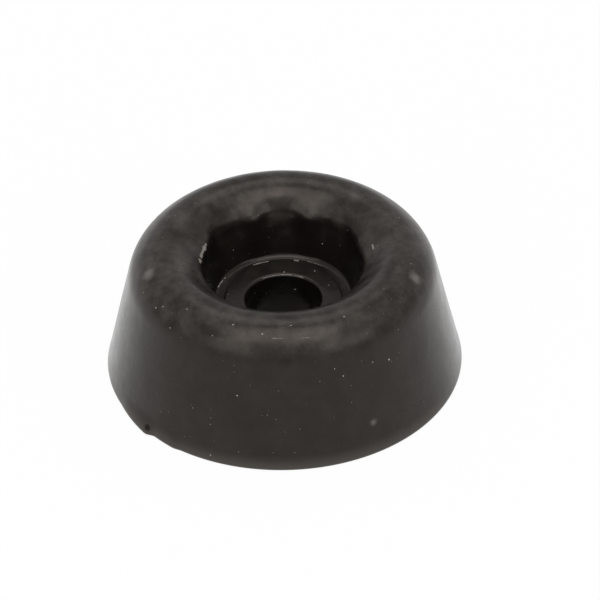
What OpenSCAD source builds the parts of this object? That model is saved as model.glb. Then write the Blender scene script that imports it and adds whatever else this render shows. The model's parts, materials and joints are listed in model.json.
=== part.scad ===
// Tapered rubber foot, held on by a screw through the floor of its recess.
// Millimetres. The wide flat face lies on Z = 0, and the rim looks up along +Z.
// One outline, made of straight draughts and tangent arcs, is turned round Z.

/* [Outside] */
// Diameter of the foot where it is widest, just above the flat face
base_d = 25.4; // [22:0.1:40]
// Height from the flat face to the crown of the rim
height = 10.2; // [9.5:0.1:12]
// Lean of the side wall from upright, in degrees
wall_draft = 13; // [6:0.5:16]
// Rounding where the side wall meets the flat face
base_edge_r = 0.25; // [0.1:0.05:0.8]
// Radius of the shoulder that carries the side wall over onto the rim
shoulder_r = 3.4; // [2.8:0.1:6]
// How far the crown lies inside the top of the side wall
crown_inset = 2.05; // [1.8:0.05:2.5]
// Radius over the crown of the rim
crown_r = 2; // [1.5:0.1:2.4]

/* [Dished rim] */
// Slope of the dished face where it leaves the crown, in degrees
dish_slope = 35; // [25:1:38]
// Radius of the dished face as it rolls down to the recess
dish_r = 12; // [8:0.5:20]
// Radius of the lip round the mouth of the recess
lip_r = 1; // [0.3:0.1:1.4]

/* [Recess] */
// Diameter of the recess at its floor
recess_d = 9.9; // [9.2:0.1:10.8]
// Lean of the recess wall from upright, in degrees
recess_draft = 13; // [4:0.5:18]
// Fillet between the recess wall and the gutter
gutter_fillet_r = 0.35; // [0.1:0.05:0.5]
// Thickness of rubber between the flat face and the screw seat
web = 5.55; // [3:0.05:6.5]
// Diameter of the raised seat that the screw head presses on
seat_d = 8.4; // [7:0.1:9]
// Height of the seat above the gutter round it
seat_step = 0.15; // [0.05:0.05:0.4]
// Rounding round the edge of the seat
seat_edge_r = 0.1; // [0.05:0.05:0.2]

/* [Screw hole] */
// Diameter of the hole for a 5 mm or number 10 screw
bore_d = 5.3; // [3.5:0.1:6.2]
// Rounding where the hole meets the seat
bore_edge_r = 0.25; // [0.1:0.05:0.5]

/* [Moulding flash] */
// Direction of the flash tab's tip, in degrees round Z
flash_angle = 219.5; // [0:0.5:360]
// How far the tip stands out past the side wall
flash_proud = 0.3; // [0.1:0.05:0.6]
// Height of the tab above the flat face
flash_h = 0.9; // [0.4:0.1:1.5]
// Sweep of the long edge that leads up to the tip, in degrees
flash_lead = 16; // [8:1:20]
// Sweep of the short edge behind the tip, in degrees
flash_tail = 3.5; // [2:0.5:8]
// Depth of the tab's root inside the side wall
flash_root = 1.2; // [0.8:0.1:2]

/* [Hidden] */
$fn = 180;
rubber_colour = [0.15, 0.14, 0.13];
// Most that a chord of the outline may stray from its arc
chord_error = 0.004;

function dir(a) = [cos(a), sin(a)];
function polar(r, a) = r * dir(a);
function heading(v) = atan2(v.y, v.x);

// Points along an arc, close enough together to hold chord_error
function arc(c, r, from, to) =
    let (steps = ceil(abs(to - from) / (2 * acos(1 - chord_error / r))))
    [for (i = [0 : steps]) c + polar(r, from + (to - from) * i / steps)];

// Centre of an arc of radius r that touches a wall through p with outward direction n,
// and lies at a given distance from the centre c of the arc that it runs into
function arc_centre(p, n, r, c, distance) =
    let (along = (p - c) * n - r)
    c + n * along + [n.y, -n.x] * sqrt(pow(distance, 2) - pow(along, 2));

// Side wall: it leaves the bottom rounding at the angle of its draught
base_edge_c = [base_d / 2 - base_edge_r, base_edge_r];
wall_foot = base_edge_c + polar(base_edge_r, wall_draft);
wall_top_x = wall_foot.x - (height - wall_foot.y) * tan(wall_draft);

// Crown and shoulder, which share a tangent at shoulder_end
crown_c = [wall_top_x - crown_inset, height - crown_r];
shoulder_c = arc_centre(wall_foot, dir(wall_draft), shoulder_r, crown_c, shoulder_r - crown_r);
shoulder_end = heading(crown_c - shoulder_c);

// Dished face, which leaves the crown at dish_start
dish_start = 90 + dish_slope;
dish_c = crown_c - polar(dish_r - crown_r, dish_start);

// Recess wall and lip, which takes over from the dished face at dish_end
gutter_z = web - seat_step;
recess_foot = [recess_d / 2, gutter_z];
recess_facing = 180 - recess_draft;
lip_c = arc_centre(recess_foot, dir(recess_facing), lip_r, dish_c, dish_r - lip_r);
dish_end = heading(lip_c - dish_c);

// Fillet at the foot of the recess wall
fillet_in = gutter_fillet_r * (1 - sin(recess_draft)) / cos(recess_draft);
fillet_c = recess_foot + [-fillet_in, gutter_fillet_r];

// Seat and screw hole
seat_edge_c = [seat_d / 2 - seat_edge_r, web - seat_edge_r];
bore_edge_c = [(bore_d / 2) + bore_edge_r, web - bore_edge_r];

// Half section of the foot, from the bottom of the screw hole round by the side wall
module outline() {
    polygon(concat(
        [[bore_d / 2, 0]],
        arc(base_edge_c, base_edge_r, -90, wall_draft),
        arc(shoulder_c, shoulder_r, wall_draft, shoulder_end),
        arc(crown_c, crown_r, shoulder_end, dish_start),
        arc(dish_c, dish_r, dish_start, dish_end),
        arc(lip_c, lip_r, dish_end, recess_facing),
        arc(fillet_c, gutter_fillet_r, -recess_draft, -90),
        [[seat_d / 2, gutter_z]],
        arc(seat_edge_c, seat_edge_r, 0, 90),
        arc(bore_edge_c, bore_edge_r, 90, 180)
    ));
}

// Tab of flash at the bottom edge: a long straight lead, a tip and a short tail,
// with a top that slopes back into the side wall
module flash_tab() {
    rim = base_d / 2;
    intersection() {
        linear_extrude(flash_h)
            polygon([
                polar(rim - flash_root, flash_angle - flash_lead),
                polar(rim - base_edge_r / 2, flash_angle - flash_lead),
                polar(rim + flash_proud, flash_angle),
                polar(rim - base_edge_r / 2, flash_angle + flash_tail),
                polar(rim - flash_root, flash_angle + flash_tail)
            ]);
        cylinder(h = flash_h, r1 = rim + flash_proud, r2 = rim - flash_h * tan(wall_draft));
    }
}

module rubber_foot() {
    color(rubber_colour) {
        rotate_extrude() outline();
        flash_tab();
    }
}

rubber_foot();
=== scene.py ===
"""A tapered black rubber foot: rolled, dished rim, recess with a screw seat, flash and dust.

The foot is one moulding turned round Z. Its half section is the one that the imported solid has,
drawn finer. A lathe of geometry nodes turns it and adds the moulding flash and the unevenness of
soft rubber. Angles round the axis are in degrees from X towards Y, and the camera looks along Y.
"""

import json
import math
import random

import bpy
from mathutils import Matrix, Vector


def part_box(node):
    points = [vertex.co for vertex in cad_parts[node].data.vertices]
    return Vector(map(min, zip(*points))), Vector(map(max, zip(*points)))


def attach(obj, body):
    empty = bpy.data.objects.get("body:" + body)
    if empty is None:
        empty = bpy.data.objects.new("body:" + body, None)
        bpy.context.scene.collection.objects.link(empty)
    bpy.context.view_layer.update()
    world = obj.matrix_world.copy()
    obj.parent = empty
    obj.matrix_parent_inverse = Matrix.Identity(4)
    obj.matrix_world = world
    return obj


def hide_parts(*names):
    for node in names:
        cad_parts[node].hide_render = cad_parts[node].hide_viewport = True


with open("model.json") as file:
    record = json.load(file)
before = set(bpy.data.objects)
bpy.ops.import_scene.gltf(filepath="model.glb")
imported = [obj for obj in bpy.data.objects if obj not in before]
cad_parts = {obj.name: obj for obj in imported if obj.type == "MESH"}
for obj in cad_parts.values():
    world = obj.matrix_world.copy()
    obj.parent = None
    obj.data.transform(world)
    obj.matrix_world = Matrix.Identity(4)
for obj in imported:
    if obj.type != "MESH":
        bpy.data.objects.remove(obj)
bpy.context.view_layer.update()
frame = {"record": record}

MM = 0.001
UP = Vector((0.0, 0.0, 1.0))

# Driving dimensions, in metres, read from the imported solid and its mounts
_, node_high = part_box("rubber_foot")
mounts = {mount["name"]: mount for mount in frame["record"]["mounts"]}
base_r = node_high.x
height = node_high.z
bore_r = mounts["screw_hole"]["dims"]["r_mm"] * MM
web = mounts["screw_seat"]["pos_m"][2]

# Section of the foot: radii and lengths in metres, leans in degrees
wall_draft = 13.0
base_edge_r = 0.25 * MM
shoulder_r = 3.4 * MM
crown_inset = 2.05 * MM
crown_r = 2.0 * MM
dish_slope = 35.0
dish_r = 12.0 * MM
lip_r = 1.0 * MM
recess_r = 4.95 * MM
recess_draft = 13.0
gutter_fillet_r = 0.35 * MM
seat_r = 4.2 * MM
seat_step = 0.15 * MM
seat_edge_r = 0.1 * MM
bore_edge_r = 0.25 * MM
corner_r = 0.06 * MM

# Tab of moulding flash at the bottom edge: a long lead up to its tip, a short tail, and a low heel
flash_angle = 219.5
flash_proud = 0.3 * MM
flash_lead = 16.0
flash_tail = 3.5
heel_start = 1.75
heel_lead = 11.5
heel_tail = 15.0
heel_proud = 0.1 * MM
# Height up to which the flash is whole and at which it ends, and the same inwards from the edge
flash_full = 0.15 * MM
flash_top = 1.4 * MM
flash_whole_in = 0.4 * MM
flash_ends_in = 1.2 * MM

# Dimple in the flash, behind its tip: its floor and its brim end at these shares of its radius
dimple_angle = 220.0
dimple_height = 0.6 * MM
dimple_r = 0.28 * MM
dimple_floor = 0.5
dimple_brim = 1.3

# Mesh: longest step along the section and on the flat face, most degrees a step, steps round,
# and the distance within which points are joined
section_step = 0.16 * MM
flat_step = 0.6 * MM
arc_turn = 9.0
steps_round = 420
weld = 1e-7

# Unevenness: depth, size of its broad and fine swells, share of the broad ones, and the height
# above the flat face from which it is whole
uneven_depth = 0.05 * MM
broad_size = 3.4 * MM
fine_size = 1.3 * MM
broad_share = 0.75
uneven_from = 1.2 * MM

# Sag of the mouth's far side, which rolls into the recess more softly than the rest: its middle,
# and how far to each side it is whole and gone
sag_angle = 90.0
sag_full = 48.0
sag_none = 72.0
# Heights of its foot, its deepest line and its top; there is none outside sag_inside_r, and it is
# whole inside sag_edge of that. Its depth, and the noise that varies it: size and what is added
sag_foot = 5.4 * MM
sag_deepest = 8.4 * MM
sag_top = 9.8 * MM
sag_inside_r = 8.0 * MM
sag_edge = 0.95
sag_depth = 0.48 * MM
sag_swell = 2.2 * MM
sag_least = 0.45
# Two lobes in it that sag less: angle from its middle, half width and the share they take away
lobe_angle = 20.0
lobe_width = 14.0
lobe_share = 0.85

# Films: flash slivers whose pale colour is a painted highlight where the surface glints. Start and
# end in degrees, then in millimetres the radius, the height, the width and the length of a dash
films = (
    (104.0, 118.0, 4.62, 5.42, 0.17, 0.40),   # far side of the gutter
    (146.0, 162.0, 4.86, 5.47, 0.14, 0.30),   # left of the gutter
    (52.0, 70.0, 4.72, 5.44, 0.04, 0.40),     # right of the gutter
    (76.0, 79.5, 4.66, 5.44, 0.34, 0.20),     # knot at the far side of the gutter
    (60.0, 120.0, 2.76, 5.48, 0.07, 0.30),    # edge of the hole
    (157.0, 178.0, 5.80, 8.70, 0.36, 0.34),   # left of the lip
    (5.0, 10.0, 6.45, 9.25, 0.26, 0.26),      # right of the lip
    (266.0, 270.0, 9.9, 9.6, 0.05, 0.30),     # middle of the shoulder
    (277.5, 280.0, 9.95, 9.55, 0.04, 0.26),   # right of the shoulder's middle
)
# Half length and half width of a dash, as least and most shares of those; the step to the next
# dash, as a share of its length, and the share of the dashes that is kept
film_length = (0.3, 0.7)
film_width = (0.3, 0.6)
film_step = 0.6
film_kept = 0.85
film_seed = 9

# Flecks of dust that stand out: angle in degrees, radius, height and length in millimetres
flecks = (
    (261, 9.7, 9.8, 0.16), (248, 9.4, 10.0, 0.16), (310, 11.3, 6.5, 0.18),
    (200, 10.4, 9.0, 0.12), (211, 10.4, 9.0, 0.13), (241, 10.2, 9.2, 0.11),
    (291, 11.2, 6.6, 0.13), (303, 11.2, 6.9, 0.12), (222, 10.7, 8.6, 0.12),
    (214, 10.1, 9.3, 0.11), (288, 11.1, 7.3, 0.11), (253, 11.5, 5.5, 0.18),
    (192, 12.1, 3.0, 0.14), (273, 9.1, 10.1, 0.12), (237, 11.9, 3.7, 0.10),
    (346, 9.3, 10.0, 0.11), (297, 9.2, 10.1, 0.12), (58, 5.3, 6.8, 0.12),
    (71, 2.7, 4.3, 0.20), (225, 9.5, 9.9, 0.10), (244, 12.1, 2.9, 0.10),
    (20, 8.9, 10.1, 0.11), (245, 12.6, 0.6, 0.15), (53, 3.8, 5.5, 0.15),
    (22, 3.5, 5.5, 0.13), (88, 3.0, 5.5, 0.17), (5, 6.8, 9.4, 0.11),
)
# Least and most share of its length that a fleck's width has
fleck_width = (0.5, 0.9)
fleck_seed = 4

# Chips, which flecks and films are made of: half their thickness, and the share of it that the
# middle lies under the surface
chip_half = 0.02 * MM
chip_sunk = 0.6
chip_subdivisions = 2

# Fine dust: grains per square metre, their usual width, the least and most share of it that half
# a grain's width has, its depth and thickness as shares of that, and the height that it lies above
dust_density = 2.4e5
dust_width = 0.05 * MM
dust_spread = (0.25, 0.8)
dust_depth = 0.7
dust_thickness = 0.3
dust_from = 1.2 * MM
dust_seed = 12

# Soft pale patches, painted highlights on the two shoulders and dust low on the wall: angle in
# degrees, radius, height and width in millimetres, and strength
highlight_and_dust_patches = (
    (340, 9.9, 9.6, 0.75, 0.55),
    (194, 9.7, 9.7, 0.75, 0.55),
    (300, 12.2, 2.5, 0.38, 0.45),
)
# The noise that breaks their edges: size and what is added
patch_break = 0.4 * MM
patch_least = 0.5

# Colours of the rubber, of what lies on it, and of the light and shade painted on it
rubber_black = (0.0055, 0.0045, 0.0036, 1.0)
bloom_and_top_light = (0.049, 0.0435, 0.0385, 1.0)
painted_floor_reflection = (0.050, 0.045, 0.040, 1.0)
patch_highlight_and_dust = (0.20, 0.185, 0.17, 1.0)
dimple_shade = (0.004, 0.004, 0.003, 1.0)

# Bloom, a real mottle that is kept full on faces that look up and small on upright ones, as painted
# top light and wall shade: size of its clouds, the noise and the tilt of the surface over which it
# comes, and what is left of it on upright faces. Painted reflection of the floor, a lighter band
# along the bottom edge: its height and its start to base_r
bloom_size = 1.5 * MM
bloom_noise = (0.30, 0.80)
top_light_tilt = (0.2, 0.8)
bloom_on_shaded_walls = 0.15
painted_floor_reflection_height = 1.3 * MM
painted_floor_reflection_start = 0.9

# The recess, painted darker as painted shade and made glossier: radii and heights over which it
# comes, what it takes off the bloom and what it takes off the roughness
recess_radii = (6.7 * MM, 5.9 * MM)
recess_heights = (9.0 * MM, 8.0 * MM)
recess_shade = 0.9
recess_gloss = 0.10

# Roughness: its least, what patches add and their size, and what the dimple adds
rough_least = 0.14
rough_patches = 0.34
rough_size = 1.4 * MM
rough_dimple = 0.5

# Relief under light: a ripple, a fine grain and the dimple, whose heights are shares of the
# ripple's, and how strong and deep it all is
ripple_size = 0.7 * MM
grain_size = 0.13 * MM
grain_share = 0.2
dimple_share = 6.0
relief_strength = 0.6
relief_depth = 0.03 * MM

# Gleam of upright faces seen at a slant: strength, the slants and tilts over which it comes, and
# its roughness. The tint and level of the other reflections
gleam = 0.58
gleam_slant = (0.4, 0.9)
gleam_tilt = (0.6, 0.3)
gleam_roughness = 0.2
specular_tint = (1.0, 0.88, 0.80, 1.0)
specular_level = 0.35

# Finishes of the dust and of the films, whose pale colour is a painted highlight: colour and
# roughness
plain_finishes = {
    "pale_dust": ((0.35, 0.32, 0.285, 1.0), 0.6),
    "dull_dust": ((0.20, 0.18, 0.16, 1.0), 0.7),
    # The films' pale colour is a painted highlight
    "glint_film": ((0.20, 0.18, 0.16, 1.0), 0.35),
}

# Stage: white floor and its share of plain white to the camera, and the light all round
floor_half = 1.5
floor_colour = (0.85, 0.85, 0.85, 1.0)
floor_white = 0.95
surround_colour = (1.0, 1.0, 1.0, 1.0)
surround_level = 0.54

# Lamps: name, azimuth and elevation in degrees, width and depth in metres, and power in watts
lamp_distance = 0.45
lamps = (
    ("overhead", 0.0, 66.0, 0.50, 0.27, 1.00),
    ("front", 0.0, 33.0, 0.18, 0.18, 0.03),
    ("front_left", -42.0, 26.0, 0.28, 0.17, 0.19),
    ("front_right", 46.0, 26.0, 0.28, 0.17, 0.23),
    ("rear_top", 180.0, 66.0, 0.30, 0.22, 0.28),
    ("rear_left", -150.0, 26.0, 0.20, 0.20, 0.03),
    ("rear_right", 145.0, 14.0, 0.20, 0.20, 0.02),
)

# Camera: places and nearest distance in metres, roll in degrees, lens in millimetres
camera_place = Vector((0.0, -0.249324, 0.196580))
camera_aim = Vector((0.001181, 0.0, 0.005270))
camera_roll = 1.203
camera_lens = 265.3
camera_near = 0.01


class Socket:
    """A node's output that takes part in Python arithmetic by adding Math nodes."""

    def __init__(self, tree, socket):
        self.tree = tree
        self.socket = socket

    def __add__(self, other):
        return self.tree.math("ADD", self, other)

    __radd__ = __add__

    def __sub__(self, other):
        return self.tree.math("SUBTRACT", self, other)

    def __rsub__(self, other):
        return self.tree.math("SUBTRACT", other, self)

    def __mul__(self, other):
        return self.tree.math("MULTIPLY", self, other)

    __rmul__ = __mul__

    def __truediv__(self, other):
        return self.tree.math("DIVIDE", self, other)

    def __rtruediv__(self, other):
        return self.tree.math("DIVIDE", other, self)


class Tree:
    """A node tree, shader or geometry, that is written as expressions."""

    def __init__(self, nodes):
        self.nodes = nodes.nodes
        self.links = nodes.links

    def fill(self, node, inputs):
        """Sets a node's sockets, by values or links."""
        for name, value in inputs.items():
            if isinstance(value, Socket):
                self.links.new(value.socket, node.inputs[name])
            else:
                node.inputs[name].default_value = value

    def add(self, kind, settings=None, inputs=None):
        """Adds a node, and makes its settings before it fills its sockets."""
        node = self.nodes.new(kind)
        for name, value in (settings or {}).items():
            setattr(node, name, value)
        self.fill(node, inputs or {})
        return node

    def out(self, kind, settings=None, inputs=None, output=0):
        """Adds a node and returns one of its outputs, by number or name."""
        return Socket(self, self.add(kind, settings, inputs).outputs[output])

    def math(self, operation, *values):
        return self.out("ShaderNodeMath", {"operation": operation}, dict(enumerate(values)))

    def vector(self, operation, *values, output="Vector"):
        settings = {"operation": operation}
        return self.out("ShaderNodeVectorMath", settings, dict(enumerate(values)), output)

    def scaled(self, vector, factor):
        inputs = {0: vector, "Scale": factor}
        return self.out("ShaderNodeVectorMath", {"operation": "SCALE"}, inputs)

    def length(self, vector):
        return self.vector("LENGTH", vector, output="Value")

    def distance(self, place, other):
        return self.vector("DISTANCE", place, other, output="Value")

    def split(self, vector):
        node = self.add("ShaderNodeSeparateXYZ", inputs={0: vector})
        return [Socket(self, output) for output in node.outputs]

    def join(self, x, y, z):
        return self.out("ShaderNodeCombineXYZ", inputs={0: x, 1: y, 2: z})

    def ramp(self, value, low, high, to_low=0.0, to_high=1.0, easing="LINEAR"):
        """Goes from to_low to to_high as value goes from low to high, and stays there."""
        inputs = {0: value, 1: low, 2: high, 3: to_low, 4: to_high}
        return self.out("ShaderNodeMapRange", {"interpolation_type": easing}, inputs)

    def smooth(self, *values):
        """A ramp that eases in and out."""
        return self.ramp(*values, easing="SMOOTHSTEP")

    def noise(self, place, size, detail, roughness, seed):
        """Noise from 0 to 1 with features of about that size, in metres."""
        inputs = {"Vector": place, "W": seed, "Scale": 1.0 / size,
                  "Detail": detail, "Roughness": roughness}
        return self.out("ShaderNodeTexNoise", {"noise_dimensions": "4D"}, inputs)

    def mix_colour(self, factor, first, second):
        """Mixes colours; sockets 6 and 7 and output 2 are the colour ones of a Mix node."""
        inputs = {0: factor, 6: first, 7: second}
        return self.out("ShaderNodeMix", {"data_type": "RGBA"}, inputs, output=2)


def place_in_scene(name, data):
    piece = bpy.data.objects.new(name, data)
    bpy.context.scene.collection.objects.link(piece)
    return piece


# ---------------------------------------------------------------- section


def polar(radius, angle):
    turn = math.radians(angle)
    return Vector((radius * math.cos(turn), radius * math.sin(turn)))


def heading(v):
    return math.degrees(math.atan2(v.y, v.x))


def arc(centre, radius, start, end):
    """Points along an arc, no further apart than arc_turn or section_step."""
    sweep = abs(end - start)
    steps = math.ceil(max(sweep / arc_turn, math.radians(sweep) * radius / section_step))
    return [centre + polar(radius, start + (end - start) * i / steps) for i in range(steps + 1)]


def arc_centre(wall_point, facing, radius, centre, distance):
    """Centre of an arc that touches a wall and lies at a distance from another centre."""
    outward = polar(1.0, facing)
    along = (wall_point - centre).dot(outward) - radius
    across = math.sqrt(distance ** 2 - along ** 2)
    return centre + outward * along + Vector((outward.y, -outward.x)) * across


def stretched(corners):
    """The closed outline with its straights cut into steps, longer ones on the flat face."""
    points = []
    for start, end in zip(corners, corners[1:] + corners[:1]):
        flat = start.y < section_step and end.y < section_step
        longest = flat_step if flat else section_step
        steps = max(1, math.ceil((end - start).length / longest))
        points += [start.lerp(end, i / steps) for i in range(steps)]
    return points


def half_section():
    """The half section, as (distance from the axis, height), round from the hole's foot."""
    base_edge = Vector((base_r - base_edge_r, base_edge_r))
    wall_foot = base_edge + polar(base_edge_r, wall_draft)
    wall_top = wall_foot.x - (height - wall_foot.y) * math.tan(math.radians(wall_draft))

    crown = Vector((wall_top - crown_inset, height - crown_r))
    shoulder = arc_centre(wall_foot, wall_draft, shoulder_r, crown, shoulder_r - crown_r)
    shoulder_end = heading(crown - shoulder)
    dish_start = 90.0 + dish_slope
    dish = crown - polar(dish_r - crown_r, dish_start)

    gutter = web - seat_step
    recess_foot = Vector((recess_r, gutter))
    facing = 180.0 - recess_draft
    lip = arc_centre(recess_foot, facing, lip_r, dish, dish_r - lip_r)
    dish_end = heading(lip - dish)

    lean = math.radians(recess_draft)
    fillet_in = gutter_fillet_r * (1.0 - math.sin(lean)) / math.cos(lean)
    fillet = recess_foot + Vector((-fillet_in, gutter_fillet_r))
    seat_foot = Vector((seat_r + corner_r, gutter + corner_r))
    seat_edge = Vector((seat_r - seat_edge_r, web - seat_edge_r))
    bore_edge = Vector((bore_r + bore_edge_r, web - bore_edge_r))
    bore_foot = Vector((bore_r + corner_r, corner_r))

    return stretched(
        arc(bore_foot, corner_r, 180, 270)
        + arc(base_edge, base_edge_r, -90, wall_draft)
        + arc(shoulder, shoulder_r, wall_draft, shoulder_end)
        + arc(crown, crown_r, shoulder_end, dish_start)
        + arc(dish, dish_r, dish_start, dish_end)
        + arc(lip, lip_r, dish_end, facing)
        + arc(fillet, gutter_fillet_r, -recess_draft, -90)
        + arc(seat_foot, corner_r, 270, 180)
        + arc(seat_edge, seat_edge_r, 0, 90)
        + arc(bore_edge, bore_edge_r, 90, 180)
    )


# ---------------------------------------------------------------- geometry trees


def new_group(name, inputs):
    """A geometry tree with named inputs, given as (name, kind, value), and one output."""
    group = bpy.data.node_groups.new(name, "GeometryNodeTree")
    for label, kind, value in inputs:
        socket = group.interface.new_socket(
            name=label, in_out="INPUT", socket_type="NodeSocket" + kind)
        if value is not None:
            socket.default_value = value
    group.interface.new_socket(
        name="Piece", in_out="OUTPUT", socket_type="NodeSocketGeometry")
    tree = Tree(group)
    sockets = tree.add("NodeGroupInput").outputs
    return group, tree, {socket.name: Socket(tree, socket) for socket in sockets}


def end_group(tree, shape, material):
    """Ends a tree in real geometry that has its material."""
    real = tree.out("GeometryNodeRealizeInstances", inputs={"Geometry": shape})
    paint_inputs = {"Geometry": real, "Material": material}
    painted = tree.out("GeometryNodeSetMaterial", inputs=paint_inputs)
    tree.add("NodeGroupOutput", inputs={0: painted})


def grown(name, mesh, material, group):
    """What the tree makes of the mesh, as a plain mesh object at the origin."""
    mesh.materials.append(material)
    carrier = place_in_scene("carrier", mesh)
    carrier.modifiers.new("tree", "NODES").node_group = group
    bpy.context.view_layer.update()
    evaluated = carrier.evaluated_get(bpy.context.evaluated_depsgraph_get())
    result = bpy.data.meshes.new_from_object(evaluated)
    result.name = name
    bpy.data.objects.remove(carrier)
    return place_in_scene(name, result)


# ---------------------------------------------------------------- rubber body


def lathe(tree, given, points):
    """The section turned round Z, with the tab of flash and its heel."""
    rows = points + 1
    columns = given["Steps round"] + 1
    grid = tree.out("GeometryNodeMeshGrid", inputs={"Vertices X": rows, "Vertices Y": columns})

    # From a grid vertex's number: which section point it is, and how far round. The half and the
    # quarter keep the rounding safe
    number = tree.out("GeometryNodeInputIndex")
    row = tree.math("FLOOR", (number + 0.5) / columns)
    angle = (number - row * columns) * math.tau / given["Steps round"]
    section_index = tree.math("FLOOR", tree.math("MODULO", row + 0.25, points))
    sample_inputs = {"Geometry": given["Section"], "Index": section_index,
                     "Value": tree.out("GeometryNodeInputPosition")}
    sample = tree.out("GeometryNodeSampleIndex", {"data_type": "FLOAT_VECTOR"}, sample_inputs)
    radius, _, level = tree.split(sample)

    turned = angle * (360.0 / math.tau) - given["Flash angle"]
    tab = tree.ramp(turned, -flash_lead, 0.0) * tree.smooth(turned, 0.0, flash_tail, 1.0, 0.0)
    heel = tree.ramp(turned, heel_start, heel_lead)
    heel = heel * tree.smooth(turned, heel_lead, heel_tail, 1.0, 0.0)
    fade = tree.smooth(level, flash_full, flash_top, 1.0, 0.0)
    outer = tree.smooth(radius, base_r - flash_ends_in, base_r - flash_whole_in)
    proud = tab * given["Flash proud"] + heel * given["Heel proud"]
    radius = radius + proud * fade * outer

    x = radius * tree.math("COSINE", angle)
    y = radius * tree.math("SINE", angle)
    turn_inputs = {"Geometry": grid, "Position": tree.join(x, y, level)}
    closed = tree.out("GeometryNodeSetPosition", inputs=turn_inputs)
    weld_inputs = {"Geometry": closed, "Distance": weld}
    closed = tree.out("GeometryNodeMergeByDistance", inputs=weld_inputs)
    return tree.out("GeometryNodeFlipFaces", inputs={"Mesh": closed})


def sunk(tree, given, closed):
    """The closed surface, sunk unevenly except at the flat face, and sagged at the mouth."""
    place = tree.out("GeometryNodeInputPosition")
    x, y, level = tree.split(place)
    broad = tree.noise(place, broad_size, detail=1.0, roughness=0.5, seed=3.1)
    fine = tree.noise(place, fine_size, detail=2.0, roughness=0.5, seed=7.4)
    depth = broad * broad_share + fine * (1.0 - broad_share)
    depth = depth * tree.smooth(level, 0.0, uneven_from) * given["Unevenness"]

    # The sag leans the recess wall back and rounds the lip off
    turned = tree.math("ARCTAN2", y, x) * (360.0 / math.tau) - sag_angle
    turned = tree.math("ABSOLUTE", turned)
    from_lobe = tree.math("ABSOLUTE", turned - lobe_angle)
    lobe = tree.smooth(from_lobe, 0.0, lobe_width, 1.0, 0.0)
    beside = tree.smooth(turned, sag_full, sag_none, 1.0, 0.0) * (1.0 - lobe * lobe_share)
    across = tree.join(x, y, 0.0)
    radius = tree.length(across)
    inside = tree.smooth(radius, sag_inside_r, sag_inside_r * sag_edge)
    rise = tree.ramp(level, sag_foot, sag_deepest)
    rise = rise * tree.smooth(level, sag_deepest, sag_top, 1.0, 0.0)
    swell = tree.noise(place, sag_swell, detail=1.0, roughness=0.5, seed=6.2) + sag_least
    sag = rise * beside * inside * given["Sag depth"] * swell

    inwards = tree.scaled(tree.out("GeometryNodeInputNormal"), depth * -1.0)
    back = tree.scaled(across, sag / radius)
    shift_inputs = {"Geometry": closed, "Offset": tree.vector("ADD", inwards, back)}
    return tree.out("GeometryNodeSetPosition", inputs=shift_inputs)


def moulded_body(material):
    section = half_section()
    group, tree, given = new_group("foot_lathe", (
        ("Section", "Geometry", None),
        ("Steps round", "Int", steps_round),
        ("Flash proud", "Float", flash_proud),
        ("Heel proud", "Float", heel_proud),
        ("Flash angle", "Float", flash_angle),
        ("Unevenness", "Float", uneven_depth),
        ("Sag depth", "Float", sag_depth),
    ))
    surface = sunk(tree, given, lathe(tree, given, len(section)))
    surface = tree.out("GeometryNodeSetShadeSmooth", inputs={"Geometry": surface})
    end_group(tree, surface, material)
    wire = bpy.data.meshes.new("half_section")
    wire.from_pydata([(p.x, 0.0, p.y) for p in section], [], [])
    return grown("moulded_body", wire, material, group)


# ---------------------------------------------------------------- flecks, films and fine dust


def seat_on(body, angle, radius, level, sizes, dice):
    """A seat on the body's surface nearest to that place, with the chip lying any way round."""
    across = polar(radius, angle)
    _, place, normal, _ = body.closest_point_on_mesh(Vector((across.x, across.y, level)))
    toss = Vector((dice.uniform(-1, 1), dice.uniform(-1, 1), dice.uniform(-1, 1)))
    any_way = normal.cross(toss).normalized()
    return place - normal * sizes[2] * chip_sunk, normal, any_way, Vector(sizes)


def fleck_seats(body):
    dice = random.Random(fleck_seed)
    seats = []
    for angle, radius, level, length in flecks:
        half = length * MM / 2.0
        sizes = (half, half * dice.uniform(*fleck_width), chip_half)
        seats.append(seat_on(body, angle, radius * MM, level * MM, sizes, dice))
    return seats


def film_seats(body):
    """Each film is a row of overlapping dashes along its arc, some of them missing."""
    dice = random.Random(film_seed)
    seats = []
    for start, end, *lengths in films:
        radius, level, width, dash = (length * MM for length in lengths)
        angle = start
        while angle < end:
            half = dash * dice.uniform(*film_length)
            sizes = (half, width * dice.uniform(*film_width), chip_half)
            place, normal, _, sizes = seat_on(body, angle, radius, level, sizes, dice)
            along = polar(1.0, angle + 90.0).to_3d()
            if dice.random() < film_kept:
                seats.append((place, normal, along, sizes))
            angle += math.degrees(dash / radius) * film_step
    return seats


def seat_mesh(seats):
    """Points that carry how each chip stands: its facing, the way it lies, and its sizes."""
    mesh = bpy.data.meshes.new("chip_seats")
    mesh.from_pydata([seat[0] for seat in seats], [], [])
    for index, name in ((1, "facing"), (2, "lie"), (3, "sizes")):
        layer = mesh.attributes.new(name, "FLOAT_VECTOR", "POINT")
        for item, seat in zip(layer.data, seats):
            item.vector = seat[index]
    return mesh


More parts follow.
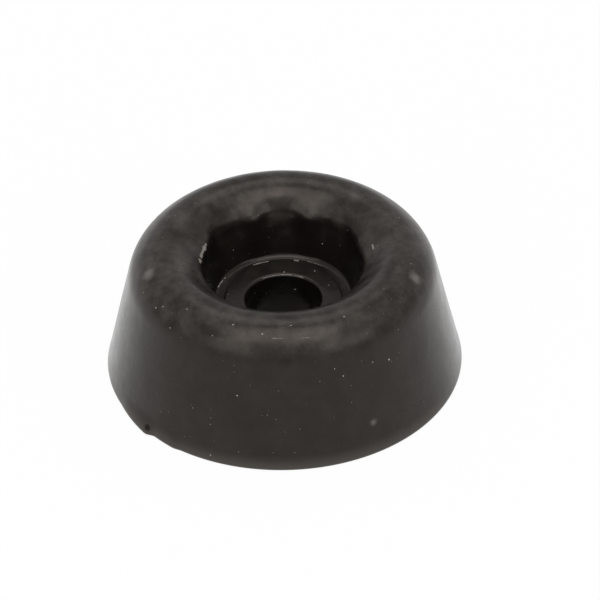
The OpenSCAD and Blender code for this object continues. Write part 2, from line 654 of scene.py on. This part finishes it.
def chips(name, seats, material, body, density):
    """A rounded chip on each seat, and fine dust on the body where its density is above 0."""
    group, tree, given = new_group("chips", (
        ("Seats", "Geometry", None),
        ("Dust per square metre", "Float", density),
        ("Dust width", "Float", dust_width),
        ("Seed", "Int", dust_seed),
    ))
    chip_inputs = {"Radius": 1.0, "Subdivisions": chip_subdivisions}
    chip = tree.out("GeometryNodeMeshIcoSphere", inputs=chip_inputs)
    facing, lie, sizes = (
        tree.out("GeometryNodeInputNamedAttribute", {"data_type": "FLOAT_VECTOR"}, {"Name": layer})
        for layer in ("facing", "lie", "sizes")
    )
    align = "FunctionNodeAlignRotationToVector"
    turn = tree.out(align, {"axis": "Z"}, {"Vector": facing})
    turn = tree.out(align, {"axis": "X", "pivot_axis": "Z"}, {"Rotation": turn, "Vector": lie})
    seat_inputs = {"Points": given["Seats"], "Instance": chip, "Rotation": turn, "Scale": sizes}
    seated = tree.out("GeometryNodeInstanceOnPoints", inputs=seat_inputs)

    _, _, level = tree.split(tree.out("GeometryNodeInputPosition"))
    above = tree.out("FunctionNodeCompare", {"operation": "GREATER_THAN"}, {0: level, 1: dust_from})
    scatter_inputs = {
        "Mesh": tree.out("GeometryNodeObjectInfo", inputs={"Object": body}, output="Geometry"),
        "Selection": above, "Density": given["Dust per square metre"], "Seed": given["Seed"]}
    scatter = tree.add("GeometryNodeDistributePointsOnFaces", inputs=scatter_inputs)
    least, most = dust_spread
    width = tree.out("FunctionNodeRandomValue", {"data_type": "FLOAT"},
                     {"Min": least, "Max": most}, output="Value") * given["Dust width"]
    grain_inputs = {"Points": Socket(tree, scatter.outputs["Points"]), "Instance": chip,
                    "Rotation": Socket(tree, scatter.outputs["Rotation"]),
                    "Scale": tree.join(width, width * dust_depth, width * dust_thickness)}
    grains = tree.out("GeometryNodeInstanceOnPoints", inputs=grain_inputs)

    joined = tree.add("GeometryNodeJoinGeometry")
    for part in (grains, seated):
        tree.links.new(part.socket, joined.inputs[0])
    end_group(tree, Socket(tree, joined.outputs[0]), material)
    return grown(name, seat_mesh(seats), material, group)


# ---------------------------------------------------------------- materials


def new_material(name):
    """A material, its tree and its Principled shader."""
    material = bpy.data.materials.new(name)
    material.use_nodes = True
    tree = Tree(material.node_tree)
    return material, tree, tree.nodes["Principled BSDF"]


def rubber_material():
    """Brownish black satin rubber: a faint bloom painted lighter on tops, painted shade in the
    recess and the flash's dimple, a painted floor reflection at the bottom edge, painted highlights
    and dust in pale patches, and a fine grain.
    """
    material, tree, shader = new_material("satin_rubber")
    place = tree.out("ShaderNodeTexCoord", output="Object")
    x, y, level = tree.split(place)
    from_axis = tree.length(tree.join(x, y, 0.0))
    _, _, facing_up = tree.split(tree.out("ShaderNodeNewGeometry", output="Normal"))
    recess = tree.smooth(from_axis, *recess_radii) * tree.smooth(level, *recess_heights)
    dimple = polar(base_r, dimple_angle)
    from_dimple = tree.distance(place, (dimple.x, dimple.y, dimple_height))
    hollow = tree.smooth(from_dimple, dimple_r * dimple_floor, dimple_r * dimple_brim, 1.0, 0.0)

    bloom = tree.noise(place, bloom_size, detail=5.0, roughness=0.65, seed=1.0)
    bloom = tree.smooth(bloom, *bloom_noise)
    # Painted light: full bloom on faces that look up and little on upright ones, so tops read
    # lighter and walls darker
    bloom = bloom * tree.smooth(facing_up, *top_light_tilt, bloom_on_shaded_walls, 1.0)
    # Painted shade: the bloom is mostly taken out of the recess, so it reads darker
    colour = tree.mix_colour(bloom * (1.0 - recess * recess_shade), rubber_black, bloom_and_top_light)
    # Painted reflection of the floor: a lighter band along the bottom edge
    edge = tree.smooth(level, painted_floor_reflection_height, 0.0)
    edge = edge * tree.smooth(from_axis, base_r * painted_floor_reflection_start, base_r)
    colour = tree.mix_colour(edge, colour, painted_floor_reflection)
    # Pale patches: painted highlights on the two shoulders, and dust low on the wall
    for angle, radius, spot_level, width, strength in highlight_and_dust_patches:
        spot = polar(radius * MM, angle)
        away = tree.distance(place, (spot.x, spot.y, spot_level * MM))
        broken = tree.noise(place, patch_break, detail=2.0, roughness=0.6, seed=9.0)
        away = away * (broken + patch_least)
        patch = tree.smooth(away, 0.0, width * MM, strength, 0.0)
        colour = tree.mix_colour(patch, colour, patch_highlight_and_dust)
    # Painted shade: the dimple's hollow is coloured darker than the rubber
    colour = tree.mix_colour(hollow, colour, dimple_shade)

    patches = tree.noise(place, rough_size, detail=4.0, roughness=0.6, seed=5.0)
    roughness = rough_least + patches * rough_patches - recess * recess_gloss
    grain = tree.noise(place, grain_size, detail=2.0, roughness=0.6, seed=2.0)
    ripple = tree.noise(place, ripple_size, detail=2.0, roughness=0.5, seed=8.0)
    relief = {"Strength": relief_strength, "Distance": relief_depth,
              "Height": grain * grain_share + ripple - hollow * dimple_share}
    slant = tree.out("ShaderNodeLayerWeight", output="Facing")
    shine = tree.smooth(slant, *gleam_slant) * gleam * tree.smooth(facing_up, *gleam_tilt)
    tree.fill(shader, {
        "Base Color": colour,
        "Roughness": roughness + hollow * rough_dimple,
        "Normal": tree.out("ShaderNodeBump", inputs=relief),
        "Coat Weight": shine,
        "Coat Roughness": gleam_roughness,
        "Specular Tint": specular_tint,
        "Specular IOR Level": specular_level,
    })
    return material


def plain_material(name):
    material, tree, shader = new_material(name)
    colour, roughness = plain_finishes[name]
    tree.fill(shader, {"Base Color": colour, "Roughness": roughness})
    return material


def floor_material():
    """White floor that shows white to the camera and still takes a soft shadow.

    Reflections see that white too, from the foot's edge outwards, and not through its hole.
    """
    material, tree, shader = new_material("white_floor")
    tree.nodes.remove(shader)
    path = tree.add("ShaderNodeLightPath")
    camera_ray, glossy_ray, glass_ray = (
        Socket(tree, path.outputs[name])
        for name in ("Is Camera Ray", "Is Glossy Ray", "Is Transmission Ray")
    )
    place = tree.out("ShaderNodeTexCoord", output="Object")
    open_floor = tree.smooth(tree.length(place), bore_r, base_r)
    seen = tree.math("MAXIMUM", glossy_ray, glass_ray) * open_floor
    seen = tree.math("MAXIMUM", camera_ray, seen) * floor_white
    paper = tree.out("ShaderNodeBsdfDiffuse", inputs={"Color": floor_colour})
    glow = tree.out("ShaderNodeEmission", inputs={"Strength": 1.0})
    mixed = tree.out("ShaderNodeMixShader", inputs={0: seen, 1: paper, 2: glow})
    tree.fill(tree.nodes["Material Output"], {"Surface": mixed})
    return material


# ---------------------------------------------------------------- stage, light and camera


def floor():
    mesh = bpy.data.meshes.new("studio_floor")
    signs = ((-1, -1), (1, -1), (1, 1), (-1, 1))
    corners = [(x * floor_half, y * floor_half, 0.0) for x, y in signs]
    mesh.from_pydata(corners, [], [(0, 1, 2, 3)])
    mesh.materials.append(floor_material())
    place_in_scene("studio_floor", mesh)


def surround():
    """Even light from all round, which the camera sees as white."""
    world = bpy.data.worlds.new("studio")
    world.use_nodes = True
    bpy.context.scene.world = world
    tree = Tree(world.node_tree)
    seen = tree.out("ShaderNodeLightPath", output="Is Camera Ray")
    strength = surround_level + seen * (1.0 - surround_level)
    tree.fill(tree.nodes["Background"], {"Color": surround_colour, "Strength": strength})


def softbox(name, azimuth, elevation, width, depth, power):
    """An oblong lamp that faces the foot; azimuth 0 is the camera's side, and it turns right."""
    turn = math.radians(azimuth)
    lift = math.radians(elevation)
    out, rise = math.cos(lift), math.sin(lift)
    away = Vector((math.sin(turn) * out, -math.cos(turn) * out, rise))
    lamp = bpy.data.lights.new(name, "AREA")
    lamp.shape = "RECTANGLE"
    lamp.size = width
    lamp.size_y = depth
    lamp.energy = power
    box = place_in_scene(name, lamp)
    box.location = away * lamp_distance
    box.rotation_euler = away.to_track_quat("Z", "Y").to_euler()


def camera():
    forward = (camera_aim - camera_place).normalized()
    level_right = forward.cross(UP).normalized()
    level_up = level_right.cross(forward)
    roll = math.radians(camera_roll)
    right = level_right * math.cos(roll) - level_up * math.sin(roll)
    up = level_right * math.sin(roll) + level_up * math.cos(roll)
    eye = place_in_scene("camera", bpy.data.cameras.new("camera"))
    eye.data.lens = camera_lens
    eye.data.clip_start = camera_near
    turn = Matrix((right, up, -forward)).transposed()
    eye.matrix_world = Matrix.Translation(camera_place) @ turn.to_4x4()
    bpy.context.scene.camera = eye


bpy.context.scene.view_settings.view_transform = "Standard"
camera()
floor()
surround()
for lamp_row in lamps:
    softbox(*lamp_row)

body = moulded_body(rubber_material())
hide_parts("rubber_foot")
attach(body, "root")

for name, seats, finish, density in (
    ("dust_flecks", fleck_seats(body), "pale_dust", 0.0),
    ("fine_dust", [], "dull_dust", dust_density),
    # Flash slivers coloured pale as painted highlights
    ("flash_films", film_seats(body), "glint_film", 0.0),
):
    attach(chips(name, seats, plain_material(finish), body, density), "root")
